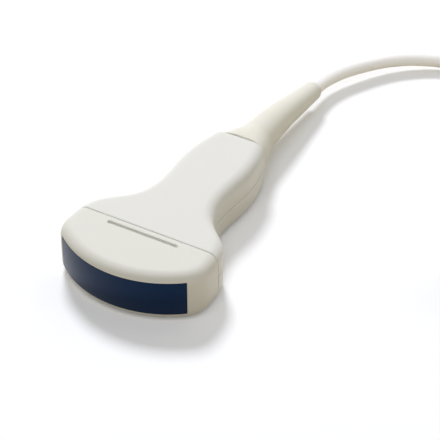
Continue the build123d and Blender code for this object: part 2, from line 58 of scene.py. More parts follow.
# Gaps: half of the seam behind the nosepiece, half of the handle's parting line, and a close fit.
SEAM_GAP, PARTING_GAP, FIT = 0.0001, 0.00004, 0.00005
MOUTH_START = 0.0055  # angle at which the handle's mouth leaves the parting line

# Steps of the meshes: housing and nosepiece, lens and handle shells, strain relief, then small pieces.
FLANK_SAMPLES, FLANK_STEPS, CORNER_STEPS, FACE_STEPS, ROLL_STEPS, WALL_STEPS = 80, 8, 12, 64, 7, 8
CROWN_STEPS, LENS_STEPS, SHELL_ROLL_STEPS, SHELL_WALL_STEPS, SHELL_STEPS = 24, 80, 9, 5, 71
RING_STEPS, TAPER_STEPS, TIP_STEPS, BORE_STEPS = 72, 59, 6, 19
GROOVE_STEPS, STRAP_STEPS, HEAD_STEPS, SHANK_STEPS = 8, 6, 32, 20

# Limits that keep the edge of the window on the rolled edge of the housing.
LEAST_RISE, MOST_OF_ROLL = 0.0001, 0.95
# Corners of a solid that are one, the turn between faces that are one, and the turn at an edge to soften.
WELD, FLAT, SHARP = 0.000001, radians(0.5), radians(40)

# Broken edges, which only catch light.
GROOVE_EDGE, WINDOW_EDGE, LENS_EDGE = 0.00014, 0.00015, 0.0001
STRAP_EDGE, CASE_EDGE, SHROUD_EDGE = 0.00025, 0.0003, 0.0002

# Line of the strain relief: half of the bend's length, then its slopes sideways and down after the bend.
BEND_REACH, DRIFT, DROOP = 0.0095, 0.03, 0.1
# Collar: place and step in of the groove behind the handle, then where the smooth skin starts.
COLLAR_GROOVE = ((FIT, 0.003), (0.0014, 0.003), (0.00144, 0.0006), (0.0016, 0.0002), (0.002, 0.0))
SKIN_START = 0.0025
TAPER_BLEND, TAPER_SOFTNESS, TIP_ROUND, BORE_START = 0.006, 0.0012, 0.0011, 0.001

# Cable: straight lead from the tip, points across, behind the tip and off the table, then the last point
# before the coil, from the coil's middle and from its outer turn.
CABLE_LEAD = 0.0151
CABLE_RUN = (
    (0.0081, 0.0306, 0.0041),
    (0.0222, 0.0512, 0.003),
    (0.0446, 0.0647, 0.0017),
    (0.074, 0.0649, 0.001),
)
COIL_ENTRY = (-0.0095, 0.0003)
# Coil: turns, cells of the section as column and layer in the order they fill, and degrees between points.
COIL_TURNS = 7.25
COIL_CELLS = ((1, 0), (-1, 0), (-1, 1), (1, 1), (1, 2), (-1, 2), (-1, 3), (1, 3))
COIL_STEP = 15.0
# Degrees before the end of the first turn where the cable moves to the next cell, how much earlier each
# later move is, and how long a move takes.
MOVE_BEFORE, MOVE_EARLIER, MOVE_SPAN = 72.0, 25.2, 84.0

# Tail: straight length out of the coil and into the plug.
TAIL_LEAD = 0.0154
STRAP_CORNER = 0.0022

# Contact: length of its point, and radius of its tip as a share of the contact's size.
CONTACT_POINT, CONTACT_TIP = 0.0008, 0.32
# Screws: radius and rise of the head, radius of the shank; the recess as shares of the head's radius; and how
# far round the screws of the case are driven.
CASE_SCREW = {"Head": 0.0022, "Rise": 0.0016, "Shank": 0.00125}
BOARD_SCREW = {"Head": 0.0019, "Rise": 0.0013, "Shank": 0.001}
RECESS = (1.15, 0.3, 0.9)
DRIVEN = 0.4

# Lamps: power among the studio's settings, place, diameter and colour.
LAMPS = (
    ("key", (-1.367, 1.572, 2.157), 0.8, (0.98, 0.99, 1.05)),
    ("front", (0.3, -0.85, 2.33), 1.6, (0.97, 0.99, 1.05)),
    ("side", (1.5, 1.5, 1.6), 2.4, (1.0, 1.0, 1.0)),
)
TABLE_REACH = 4.0
# Paper of the table: its colour for soft light and as it is seen, and its glow as it is seen.
PAPER_SOFT, PAPER_SEEN = (0.63, 0.56, 0.41, 1.0), (0.9, 0.905, 0.92, 1.0)
PAPER_GLOW, GLOW_COLOUR = 0.115, (0.95, 1.0, 1.1, 1.0)
FILL_COLOUR = (1.0, 0.95, 0.82, 1.0)


def length(name, description, default):
    """Give a size that a user may change."""
    return bpy.props.FloatProperty(
        name=name, description=description, default=default, unit="LENGTH", subtype="DISTANCE", precision=5
    )


def share(name, description, default):
    """Give a share of a length that a user may change."""
    return bpy.props.FloatProperty(name=name, description=description, default=default, min=0.0, max=1.0)


def angle(name, description, default):
    """Give an angle that a user may change, from its default in degrees."""
    return bpy.props.FloatProperty(
        name=name, description=description, default=radians(default), unit="ROTATION", subtype="ANGLE"
    )


def count(name, description, default):
    """Give a number of pieces that a user may change."""
    return bpy.props.IntProperty(name=name, description=description, default=default, min=1)


def tint(name, description, default):
    """Give a colour that a user may change."""
    return bpy.props.FloatVectorProperty(
        name=name, description=description, default=default, size=3, subtype="COLOR", min=0.0, max=1.0
    )


def number(name, description, default):
    """Give a plain number that a user may change."""
    return bpy.props.FloatProperty(name=name, description=description, default=default)


class ProbeSizes(bpy.types.PropertyGroup):
    """Sizes of the probe, its cable and its connector."""

    overall: length("Length", "Apex of the acoustic face to the tip of the strain relief", 0.183)
    thickness: length("Thickness", "Lower to upper face of the housing", 0.0242)
    edge_roll: length("Edge roll", "Radius of the long edges of the housing", 0.0055)
    face_radius: length("Face radius", "Convex radius of the acoustic face", 0.05)
    window_angle: angle("Window angle", "Angle that the lens spans", 79.2)
    window_height: length("Window height", "Height of the lens", 0.017)
    lens_depth: length("Lens depth", "Thickness of the lens", 0.0025)
    corner_radius: length("Nose corner", "Radius of the two corners of the nosepiece", 0.013)
    nose_length: length("Nose length", "Apex to the seam between nosepiece and handle", 0.0304)
    handle_end: length("Handle end", "Apex to the end of the handle", 0.111)
    shoulder_draw: length("Shoulder draw", "How much narrower than the nose the shoulder is", 0.0076)
    shoulder_share: share("Shoulder place", "Share of the way from the seam to the tail", 0.119)
    neck_draw: length("Neck draw", "How much narrower than the nose the neck is", 0.032)
    neck_share: share("Neck place", "Share of the way from the seam to the tail", 0.28)
    waist_width: length("Waist", "Width of the waist", 0.0328)
    waist_share: share("Waist place", "Share of the way from the seam to the tail", 0.479)
    grip_width: length("Grip", "Width of the grip", 0.0346)
    grip_share: share("Grip place", "Share of the way from the seam to the tail", 0.715)
    tail_width: length("Tail", "Width of the end of the handle", 0.0272)
    tail_slope: angle("Tail slope", "How far the sides run in at the end of the handle", 17.0)
    wall: length("Wall", "Wall of the housing", 0.0022)
    end_wall: length("End wall", "Wall at the end of the handle", 0.003)
    seam_edge: length("Seam edge", "Broken edge on each side of a seam", 0.0005)
    groove_length: length("Groove length", "Length of the bracket groove", 0.0358)
    groove_width: length("Groove width", "Width of the bracket groove", 0.0018)
    groove_depth: length("Groove depth", "Depth of the bracket groove", 0.001)
    groove_at: length("Groove place", "Apex to the middle of the bracket groove", 0.0268)
    collar_width: length("Collar width", "Strain relief against the handle", 0.0252)
    collar_height: length("Collar height", "Strain relief against the handle", 0.0239)
    collar_square: number("Collar squareness", "How far the collar is from an oval to a rectangle", 1.4)
    swell_width: length("Swell width", "Strain relief behind its collar", 0.023)
    swell_height: length("Swell height", "Strain relief behind its collar", 0.022)
    swell_reach: length("Swell place", "Behind the end of the handle", 0.0065)
    base_diameter: length("Base diameter", "Strain relief where its taper starts", 0.0176)
    base_reach: length("Base place", "Behind the end of the handle", 0.014)
    tip_diameter: length("Tip diameter", "Tip of the strain relief", 0.0094)
    boot_neck: length("Neck diameter", "Strain relief in the wall of the handle", 0.0148)
    boot_flange: length("Flange diameter", "Strain relief inside the handle", 0.019)
    flange_thickness: length("Flange thickness", "Strain relief inside the handle", 0.0025)
    cable_diameter: length("Cable diameter", "Diameter of the cable", 0.0066)
    cable_inside: length("Cable inside", "Cable that runs on inside the tip of the strain relief", 0.0045)
    bend_level: length("Bend level", "Height of the cable in the strain relief", 0.0132)
    bend_share: share("Bend place", "Share of the strain relief before the cable droops", 0.486)
    coil_radius: length("Coil radius", "Middle of the turns", 0.033)
    coil_x: length("Coil place across", "Middle of the coil, sideways", 0.1026)
    coil_behind: length("Coil place along", "Middle of the coil, behind the tip of the strain relief", 0.0284)
    tie_thickness: length("Tie thickness", "Strap round the coil", 0.001)
    contact_columns: count("Contact columns", "Contacts across the connector", 8)
    contact_rows: count("Contact rows", "Rows of contacts", 5)
    contact_pitch: length("Contact pitch", "Spacing of the contacts", 0.002)
    contact_size: length("Contact size", "Thickness of a contact", 0.00064)


class ProbeFinishes(bpy.types.PropertyGroup):
    """Colours of the pieces."""

    nose: tint("Nosepiece", "Warm white plastic", (0.77, 0.765, 0.715))
    handle: tint("Handle", "White plastic", (0.785, 0.785, 0.75))
    lens: tint("Lens", "Dark blue silicone", (0.001, 0.006, 0.026))
    boot: tint("Strain relief", "Cream rubber", (0.80, 0.79, 0.71))
    jacket: tint("Cable", "Pale jacket", (0.95, 0.955, 0.96))
    case: tint("Connector case", "Light grey plastic", (0.52, 0.52, 0.5))
    strap: tint("Coil tie", "Black woven strap", (0.02, 0.02, 0.022))


class ProbeStudio(bpy.types.PropertyGroup):
    """Camera and light."""

    azimuth: angle("Azimuth", "Camera round the probe", 30.37)
    elevation: angle("Elevation", "Camera above the table", 37.69)
    distance: length("Distance", "Camera to the point it looks at", 0.82394)
    aim_x: length("Aim across", "Point that the camera looks at", 0.00822)
    aim_y: length("Aim along", "Point that the camera looks at", -0.01236)
    lens: number("Lens", "Focal length in millimetres", 147.27)
    key: number("Key", "Power of the lamp behind the probe in watts", 67.0)
    front: number("Front", "Power of the lamp above the camera in watts", 12.5)
    side: number("Side", "Power of the lamp behind on the right in watts", 3.5)
    fill: number("Fill", "Strength of the light all round", 0.32)


# Sockets of the shader that some finishes set.
METAL = {"Metallic": 1.0}
BLUE_SHEEN = {"Specular IOR Level": 0.45, "Specular Tint": (0.14, 0.38, 0.85, 1.0)}
SOFT_RUBBER = {"Subsurface Weight": 0.2, "Subsurface Radius": (0.004, 0.004, 0.003), "Subsurface Scale": 1.0}
SOFT_JACKET = {"Subsurface Weight": 1.0, "Subsurface Radius": (0.006, 0.006, 0.006), "Subsurface Scale": 1.0}

# Finishes in a colour that a user may change: the colour, factor of its second tone, roughness, pattern.
COLOURED = {
    "warm white moulded plastic": ("nose", 0.985, (0.34, 0.40), {"patch": 45.0}),
    "white moulded plastic": ("handle", 0.985, (0.34, 0.40), {"patch": 45.0}),
    "dark blue lens silicone": (
        "lens",
        1.2,
        (0.30, 0.36),
        {"patch": 90.0, "relief": 0.03, "shader": BLUE_SHEEN},
    ),
    "cream moulded rubber": (
        "boot",
        0.98,
        (0.44, 0.52),
        {"patch": 70.0, "relief": 0.08, "shader": SOFT_RUBBER},
    ),
    "pale cable jacket": (
        "jacket",
        0.97,
        (0.40, 0.48),
        {"patch": 120.0, "relief": 0.06, "shader": SOFT_JACKET},
    ),
    "light grey grained plastic": (
        "case",
        0.96,
        (0.45, 0.55),
        {"patch": 80.0, "grain": 1800.0, "relief": 0.2},
    ),
    "black woven strap": (
        "strap",
        1.6,
        (0.75, 0.9),
        {"patch": 900.0, "grain": 1400.0, "relief": 0.5, "depth": 0.0002},
    ),
}
# Other finishes: two tones, roughness, pattern.
PLAIN = {
    "nickel plate": ((0.58, 0.56, 0.52), (0.52, 0.50, 0.46), (0.22, 0.32), {"patch": 150.0, "shader": METAL}),
    "screw steel": ((0.46, 0.46, 0.47), (0.38, 0.38, 0.39), (0.26, 0.38), {"patch": 400.0, "shader": METAL}),
    "gold plate": ((0.83, 0.62, 0.24), (0.76, 0.54, 0.2), (0.2, 0.3), {"patch": 400.0, "shader": METAL}),
    "crimped brass": ((0.66, 0.5, 0.22), (0.58, 0.43, 0.18), (0.28, 0.4), {"patch": 300.0, "shader": METAL}),
    "copper cores": ((0.62, 0.3, 0.17), (0.52, 0.24, 0.13), (0.3, 0.42), {"patch": 600.0, "shader": METAL}),
    "black connector plastic": (
        (0.02, 0.02, 0.021),
        (0.028, 0.028, 0.03),
        (0.4, 0.52),
        {"patch": 200.0, "relief": 0.15},
    ),
    "amber flex film": ((0.42, 0.17, 0.03), (0.36, 0.14, 0.025), (0.25, 0.33), {"patch": 200.0}),
    "green circuit board": ((0.02, 0.11, 0.045), (0.015, 0.085, 0.035), (0.32, 0.45), {"patch": 350.0}),
    "grey filled epoxy": (
        (0.09, 0.09, 0.095),
        (0.06, 0.06, 0.065),
        (0.55, 0.7),
        {"patch": 800.0, "relief": 0.3},
    ),
    "blue-grey matching epoxy": ((0.16, 0.19, 0.23), (0.13, 0.16, 0.2), (0.45, 0.55), {"patch": 500.0}),
    "brown piezo ceramic": (
        (0.2, 0.15, 0.1),
        (0.16, 0.12, 0.08),
        (0.5, 0.62),
        {"patch": 700.0, "relief": 0.15},
    ),
    "dark grey carrier plastic": ((0.05, 0.05, 0.052), (0.04, 0.04, 0.042), (0.48, 0.58), {"patch": 160.0}),
}
# Solids in each finish.
SOLIDS = {
    "warm white moulded plastic": ("nosepiece",),
    "white moulded plastic": ("handle_upper_shell", "handle_lower_shell"),
    "dark blue lens silicone": ("acoustic_lens",),
    "cream moulded rubber": ("strain_relief_boot", "connector_boot"),
    "pale cable jacket": ("cable_entry", "cable_run", "cable_coil", "cable_tail", "cable_end"),
    "light grey grained plastic": ("connector_lower_shell", "connector_upper_shell"),
    "black woven strap": ("coil_tie",),
    "nickel plate": ("connector_shroud",),
    "screw steel": ("connector_screws", "board_screws"),
    "gold plate": ("connector_contacts",),
    "crimped brass": ("cable_ferrule", "connector_ferrule"),
    "copper cores": ("coax_ribbon", "connector_ribbon"),
    "black connector plastic": (
        "contact_block",
        "upper_flex_connector",
        "lower_flex_connector",
        "board_chips",
    ),
    "amber flex film": ("upper_flex", "lower_flex"),
    "green circuit board": ("interconnect_board", "connector_board"),
    "grey filled epoxy": ("backing_block",),
    "blue-grey matching epoxy": ("outer_matching_layer", "inner_matching_layer"),
    "brown piezo ceramic": ("piezo_array",),
    "dark grey carrier plastic": ("array_carrier",),
}


def sizes():
    """Give the sizes in the scene."""
    return bpy.context.scene.probe_sizes


def tone(colour, factor):
    """Give a lighter or darker tone of a colour."""
    return tuple(min(max(channel * factor, 0.0), 1.0) for channel in colour)


def add_node(tree, kind, sockets=None, **settings):
    """Add a node to a tree: its sockets get links from outputs, one or a list of them, or plain values."""
    node = tree.nodes.new(kind)
    for name, value in settings.items():
        setattr(node, name, value)
    for socket, given in (sockets or {}).items():
        for value in given if isinstance(given, list) else [given]:
            if isinstance(value, bpy.types.NodeSocket):
                tree.links.new(value, node.inputs[socket])
            else:
                node.inputs[socket].default_value = value
    return node


def reckon(tree, operation, first, second):
    """Reckon with two numbers in a tree."""
    return add_node(tree, "ShaderNodeMath", {0: first, 1: second}, operation=operation).outputs["Value"]


def make_finish(name, colour, other, gloss, patch, grain=3000.0, relief=0.05, depth=0.00005, shader=None):
    """Make a finish: two close tones in soft patches, uneven gloss and a fine relief."""
    material = bpy.data.materials.new(name)
    material.use_nodes = True
    tree = material.node_tree
    principled = tree.nodes["Principled BSDF"]
    for socket, value in (shader or {}).items():
        principled.inputs[socket].default_value = value
    place = add_node(tree, "ShaderNodeTexCoord").outputs["Object"]
    noise = add_node(tree, "ShaderNodeTexNoise", {"Vector": place, "Scale": patch, "Detail": 3.0})
    patches = noise.outputs["Fac"]
    tones = {"Factor": patches, "A": (*colour, 1.0), "B": (*other, 1.0)}
    mix = add_node(tree, "ShaderNodeMix", tones, data_type="RGBA")
    sheen = add_node(tree, "ShaderNodeMapRange", {"Value": patches, "To Min": gloss[0], "To Max": gloss[1]})
    texture = add_node(tree, "ShaderNodeTexNoise", {"Vector": place, "Scale": grain, "Detail": 2.0})
    rough = {"Height": texture.outputs["Fac"], "Strength": relief, "Distance": depth}
    bump = add_node(tree, "ShaderNodeBump", rough)
    tree.links.new(mix.outputs["Result"], principled.inputs["Base Color"])
    tree.links.new(sheen.outputs["Result"], principled.inputs["Roughness"])
    tree.links.new(bump.outputs["Normal"], principled.inputs["Normal"])
    return material


def finish_of(solid):
    """Give the finish of a solid, which is made at its first use."""
    name = next(name for name, solids in SOLIDS.items() if solid in solids)
    material = bpy.data.materials.get(name)
    if material:
        return material
    if name in COLOURED:
        part, factor, gloss, pattern = COLOURED[name]
        colour = getattr(bpy.context.scene.probe_finishes, part)
        return make_finish(name, colour, tone(colour, factor), gloss, **pattern)
    colour, other, gloss, pattern = PLAIN[name]
    return make_finish(name, colour, other, gloss, **pattern)


def declare(piece, slot, *nodes):
    """Let a piece ride on the body and stand for its solids."""
    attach(piece, BODY)
    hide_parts(*nodes)


def add_piece(name, bm, slot, node, edge=0.0):
    """Turn a mesh into a piece for a solid, with soft edges and broad faces that stay flat beside them."""
    bmesh.ops.recalc_face_normals(bm, faces=bm.faces)
    for face in bm.faces:
        face.smooth = True
    mesh = bpy.data.meshes.new(name)
    bm.to_mesh(mesh)
    bm.free()
    mesh.materials.append(finish_of(node))
    piece = bpy.data.objects.new(name, mesh)
    bpy.context.scene.collection.objects.link(piece)
    declare(piece, slot, node)
    if edge:
        bevel = piece.modifiers.new("soft edges", "BEVEL")
        bevel.width = edge
        bevel.segments = 2
        bevel.limit_method = "ANGLE"
        bevel.angle_limit = SHARP
        bevel.use_clamp_overlap = True
    weighted = piece.modifiers.new("broad faces stay flat", "WEIGHTED_NORMAL")
    weighted.mode = "FACE_AREA"
    weighted.weight = 80
    weighted.keep_sharp = True


def bridge(bm, rows, closed=False):
    """Lay faces between neighbouring rows of vertices, which may be closed rings."""
    for row, following in zip(rows, rows[1:]):
        for j in range(len(row) if closed else len(row) - 1):
            n = (j + 1) % len(row)
            bm.faces.new((row[j], row[n], following[n], following[j]))


def edges_along(bm, loop, closed=False):
    """Give the edges between neighbours in a row of vertices."""
    pairs = list(zip(loop, loop[1:]))
    if closed:
        pairs.append((loop[-1], loop[0]))
    return [bm.edges.get(pair) or bm.edges.new(pair) for pair in pairs]


def break_edges(bm, edges, width):
    """Round some edges by a small radius."""
    bmesh.ops.bevel(bm, geom=edges, offset=width, segments=2, profile=0.5, affect="EDGES", clamp_overlap=True)


class Housing:
    """Plan outline and rolled edges that the nosepiece and the handle shells share."""

    def __init__(self, s):
        self.apex = -s.overall / 2
        self.top = s.thickness
        self.middle = s.thickness / 2
        self.roll = s.edge_roll
        self.face_radius = s.face_radius
        self.corner_radius = s.corner_radius
        self.centre = self.apex + s.face_radius
        self.half = s.window_angle / 2
        reach = s.face_radius - s.corner_radius
        self.corner_x = reach * sin(self.half)
        self.corner_y = self.centre - reach * cos(self.half)
        self.seam = self.apex + s.nose_length
        self.tail = self.apex + s.handle_end
        half_nose = self.corner_x + s.corner_radius
        span = s.handle_end - s.nose_length
        knots = [
            (half_nose, self.corner_y),
            (half_nose - s.shoulder_draw / 2, self.seam + s.shoulder_share * span),
            (half_nose - s.neck_draw / 2, self.seam + s.neck_share * span),
            (s.waist_width / 2, self.seam + s.waist_share * span),
            (s.grip_width / 2, self.seam + s.grip_share * span),
            (s.tail_width / 2, self.tail),
        ]
        self.run_in = np.array((-sin(s.tail_slope), cos(s.tail_slope)))
        self.flank, self.outwards = self.sample_flank(np.array(knots), np.array((0.0, 1.0)), self.run_in)

    @staticmethod
    def sample_flank(knots, first, last):
        """Sample the smooth curve through the plan knots, with its outward directions."""
        steps = np.linalg.norm(np.diff(knots, axis=0), axis=1)
        left = np.eye(len(knots))
        right = np.zeros_like(knots)
        right[0], right[-1] = first, last
        for i in range(1, len(knots) - 1):
            before, after = steps[i - 1], steps[i]
            left[i, i - 1 : i + 2] = 1 / before, 2 / before + 2 / after, 1 / after
            right[i] = 3 * (knots[i] - knots[i - 1]) / before**2 + 3 * (knots[i + 1] - knots[i]) / after**2
        slopes = np.linalg.solve(left, right)
        points, runs = [], []
        for i, step in enumerate(steps):
            for t in np.linspace(0, 1, FLANK_SAMPLES, endpoint=i == len(steps) - 1):
                a, b = knots[i], knots[i + 1]
                u, v = slopes[i] * step, slopes[i + 1] * step
                points.append(
                    (2 * t**3 - 3 * t**2 + 1) * a
                    + (t**3 - 2 * t**2 + t) * u
                    + (3 * t**2 - 2 * t**3) * b
                    + (t**3 - t**2) * v
                )
                runs.append(
                    (6 * t**2 - 6 * t) * (a - b)
                    + (3 * t**2 - 4 * t + 1) * u
                    + (3 * t**2 - 2 * t) * v
                )
        runs = np.array(runs)
        runs /= np.linalg.norm(runs, axis=1)[:, None]
        return np.array(points), np.column_stack((runs[:, 1], -runs[:, 0]))

    def half_width(self, inset, y):
        """Give the half width at a place along the flank, moved in by the inset."""
        moved = self.flank - inset * self.outwards
        beyond = moved[-1] + self.run_in * self.roll
        moved = np.vstack((moved, beyond))
        return float(np.interp(y, moved[:, 1], moved[:, 0]))

    def plan(self, station, inset):
        """Give the plan point of a station round the nose, moved in by the inset."""
        kind, value, side = station
        if kind == "flank":
            return side * self.half_width(inset, value), value
        if kind == "corner":
            radius = self.corner_radius - inset
            return side * (self.corner_x + radius * cos(value)), self.corner_y - radius * sin(value)
        radius = self.face_radius - inset
        return radius * sin(value), self.centre - radius * cos(value)

    def rolled_edge(self, depth, turns):
        """Give inset and height down the upper rolled edge of the outer or the inner skin."""
        radius = self.roll - depth
        centre = self.top - self.roll
        return [(self.roll - radius * cos(t), centre + radius * sin(t)) for t in reversed(turns)]

    def window_turn(self, height, depth):
        """Give the place on the rolled edge of a skin where the edge of the window lies."""
        rise = max(height / 2 - self.middle + self.roll, LEAST_RISE)
        return np.arcsin(min(rise / (self.roll - depth), MOST_OF_ROLL))


class PROBE_OT_nosepiece(bpy.types.Operator):
    """Mould the nosepiece: convex face with the lens window, rolled edges and the bracket groove"""

    bl_idname = "probe.mould_nosepiece"
    bl_label = "Nosepiece"

    def execute(self, context):
        s = sizes()
        shape = Housing(s)
        seam = shape.seam - SEAM_GAP
        corner_end = pi / 2 - shape.half
        right = [("flank", y, 1) for y in np.linspace(seam, shape.corner_y, FLANK_STEPS, endpoint=False)]
        right += [("corner", t, 1) for t in np.linspace(0, corner_end, CORNER_STEPS, endpoint=False)]
        face = [("face", t, 1) for t in np.linspace(shape.half, -shape.half, FACE_STEPS + 1)]
        left = [("corner", t, -1) for t in np.linspace(corner_end, 0, CORNER_STEPS + 1)[1:]]
        left += [("flank", y, -1) for y in np.linspace(shape.corner_y, seam, FLANK_STEPS + 1)[1:]]
        stations = right + face + left
        first, last = len(right), len(right) + len(face) - 1
        bm = bmesh.new()
        skins = []
        for depth, height in ((0.0, s.window_height), (s.wall, s.window_height + s.seam_edge)):
            edge = shape.window_turn(height, depth)
            turns = [0, edge / 2, edge] + list(np.linspace(edge, pi / 2, ROLL_STEPS + 1)[1:])
            upper = shape.rolled_edge(depth, turns)
            low, high = upper[-1][1], s.thickness - upper[-1][1]
            rows = upper + [(depth, z) for z in np.linspace(low, high, WALL_STEPS + 1)[1:-1]]
            rows += [(inset, s.thickness - z) for inset, z in reversed(upper)]
            skins.append(
                [
                    [bm.verts.new((*shape.plan(station, inset), z)) for inset, z in rows]
                    for station in stations
                ]
            )
        outer, inner = skins
        rim = len(turns) - 3
        sill = len(rows) - 1 - rim

        def window(skin):
            """Give the edge of the window in a skin."""
            ring = [skin[i][rim] for i in range(first, last + 1)]
            ring += [skin[last][j] for j in range(rim + 1, sill + 1)]
            ring += [skin[i][sill] for i in range(last - 1, first - 1, -1)]
            return ring + [skin[first][j] for j in range(sill - 1, rim, -1)]

        for skin in skins:
            for i in range(len(stations) - 1):
                for j in range(len(rows) - 1):
                    if not (first <= i < last and rim <= j < sill):
                        bm.faces.new((skin[i][j], skin[i + 1][j], skin[i + 1][j + 1], skin[i][j + 1]))
        reveal = window(outer)
        bridge(bm, [reveal, window(inner)], closed=True)
        for i in (0, -1):
            bridge(bm, [outer[i], inner[i]])
        for j in (0, -1):
            bm.faces.new((outer[0][j], outer[-1][j], inner[-1][j], inner[0][j]))
        bm.faces.new([column[-1] for column in outer])
        for j in (0, -1):
            bm.faces.new([column[j] for column in inner])
        groove = edges_along(bm, self.groove(bm, s, shape), closed=True)
        flat = edges_along(bm, [column[0] for column in outer], closed=True)
        bmesh.ops.triangle_fill(bm, use_beauty=True, edges=flat + groove, normal=(0, 0, 1))
        bmesh.ops.recalc_face_normals(bm, faces=bm.faces)
        break_edges(bm, groove, GROOVE_EDGE)
        break_edges(bm, edges_along(bm, reveal, closed=True), WINDOW_EDGE)
        seam_loop = outer[0] + list(reversed(outer[-1]))
        break_edges(bm, edges_along(bm, seam_loop, closed=True), s.seam_edge)
        add_piece("nosepiece_moulding", bm, "housing", "nosepiece")
        return {"FINISHED"}

    @staticmethod
    def groove(bm, s, shape):
        """Sink the walls and floor of the bracket groove, and give its rim."""
        radius = s.groove_width / 2
        reach = s.groove_length / 2 - radius
        y = shape.apex + s.groove_at
        ring = []
        for middle, turn in ((reach, 0.0), (-reach, pi)):
            turns = np.linspace(turn - pi / 2, turn + pi / 2, GROOVE_STEPS + 1)
            ring += [(middle + radius * cos(t), y + radius * sin(t)) for t in turns]
        rim, floor = (
            [bm.verts.new((*point, z)) for point in ring] for z in (shape.top, shape.top - s.groove_depth)
        )
        bridge(bm, [rim, floor], closed=True)
        bm.faces.new(floor)
        return rim


class PROBE_OT_lens(bpy.types.Operator):
    """Cast the acoustic lens: a crowned strip of silicone in the window"""

    bl_idname = "probe.cast_lens"
    bl_label = "Acoustic lens"

    def execute(self, context):
        s = sizes()
        shape = Housing(s)
        half_height = s.window_height / 2 - FIT
        rise = max(half_height - (shape.middle - shape.roll), 0.0)
        drop = shape.roll - sqrt(shape.roll**2 - rise**2)
        back = s.face_radius - s.lens_depth
        front = [(s.face_radius - drop * v * v, half_height * v) for v in np.linspace(-1, 1, CROWN_STEPS + 1)]
        section = [(back, -half_height)] + front + [(back, half_height)]
        half = shape.half - FIT / s.face_radius
        bm = bmesh.new()
        rings = [
            [bm.verts.new((r * sin(t), shape.centre - r * cos(t), shape.middle + z)) for r, z in section]
            for t in np.linspace(-half, half, LENS_STEPS + 1)
        ]
        bridge(bm, rings, closed=True)
        bm.faces.new(rings[0])
        bm.faces.new(rings[-1])
        bmesh.ops.recalc_face_normals(bm, faces=bm.faces)
        rim = [ring[1] for ring in rings] + rings[-1][2:-2] + [ring[-2] for ring in reversed(rings)]
        rim += list(reversed(rings[0][2:-2]))
        break_edges(bm, edges_along(bm, rim, closed=True), LENS_EDGE)
        add_piece("lens_strip", bm, "lens", "acoustic_lens")
        return {"FINISHED"}


class PROBE_OT_handle(bpy.types.Operator):
    """Mould the two handle shells, parted at half height, with the end wall for the strain relief"""

    bl_idname = "probe.mould_handle"
    bl_label = "Handle shells"

    def execute(self, context):
        s = sizes()
        shape = Housing(s)
        self.shell(s, shape, "upper_handle_moulding", "handle_upper_shell", False)
        self.shell(s, shape, "lower_handle_moulding", "handle_lower_shell", True)
        return {"FINISHED"}

    @staticmethod
    def section(s, shape, depth, y):
        """Give the upper half of a cross-section, from the right parting edge over to the left one."""
        turns = list(np.linspace(0, pi / 2, SHELL_ROLL_STEPS + 1))
        rolled = list(reversed(shape.rolled_edge(depth, turns)))
        parting = shape.middle + PARTING_GAP
        heights = np.linspace(parting, rolled[0][1], SHELL_WALL_STEPS, endpoint=False)
        rows = [(depth, z) for z in heights] + rolled
        right = [(shape.half_width(inset, y), y, z) for inset, z in rows]
        edge = right[-1]
        flat = [(edge[0] * part, y, edge[2]) for part in (0.5, 0.0, -0.5)]
        return right + flat + [(-x, y, z) for x, y, z in reversed(right)]

    def shell(self, s, shape, name, node, lower):
        """Mould one shell with its end wall and the mouth in it."""
        bm = bmesh.new()
        start = shape.seam + SEAM_GAP
        inner_end = shape.tail - s.end_wall

        def laid(points):
            """Lay vertices at points of the upper shell, or at the like ones of the lower."""
            return [bm.verts.new((x, y, s.thickness - z if lower else z)) for x, y, z in points]

        outer, inner = (
            [laid(self.section(s, shape, depth, y)) for y in np.linspace(start, stop, SHELL_STEPS + 1)]
            for depth, stop in ((0.0, shape.tail), (s.wall, inner_end))
        )
        radius = s.boot_neck / 2 + FIT
        turns = np.linspace(MOUTH_START, pi - MOUTH_START, len(outer[0]))
        mouth, throat = (
            laid([(radius * cos(t), y, shape.middle + radius * sin(t)) for t in turns])
            for y in (shape.tail, inner_end)
        )
        for rows in (outer, inner, [outer[-1], mouth, throat, inner[-1]], [outer[0], inner[0]]):
            bridge(bm, rows)
        for j in (0, -1):
            bridge(bm, [[row[j] for row in outer + [mouth]], [row[j] for row in inner + [throat]]])
        bmesh.ops.recalc_face_normals(bm, faces=bm.faces)
        rim = edges_along(bm, outer[0]) + edges_along(bm, outer[-1])
        rim += edges_along(bm, [row[0] for row in outer]) + edges_along(bm, [row[-1] for row in outer])
        break_edges(bm, rim, s.seam_edge)
        add_piece(name, bm, "housing", node)


def cable_line(s, at):
    """Give the middle of the cable in the strain relief, behind the apex, and its direction there."""
    bend = s.handle_end + s.bend_share * (s.overall - s.handle_end)
    past = min(max(at - bend + BEND_REACH, 0.0), 2 * BEND_REACH)
    gone = past * past / (4 * BEND_REACH) + max(at - bend - BEND_REACH, 0.0)
    lean = past / (2 * BEND_REACH)
    point = Vector((DRIFT * gone, at - s.overall / 2, s.bend_level - DROOP * gone))
    return point, Vector((DRIFT * lean, 1.0, -DROOP * lean)).normalized()


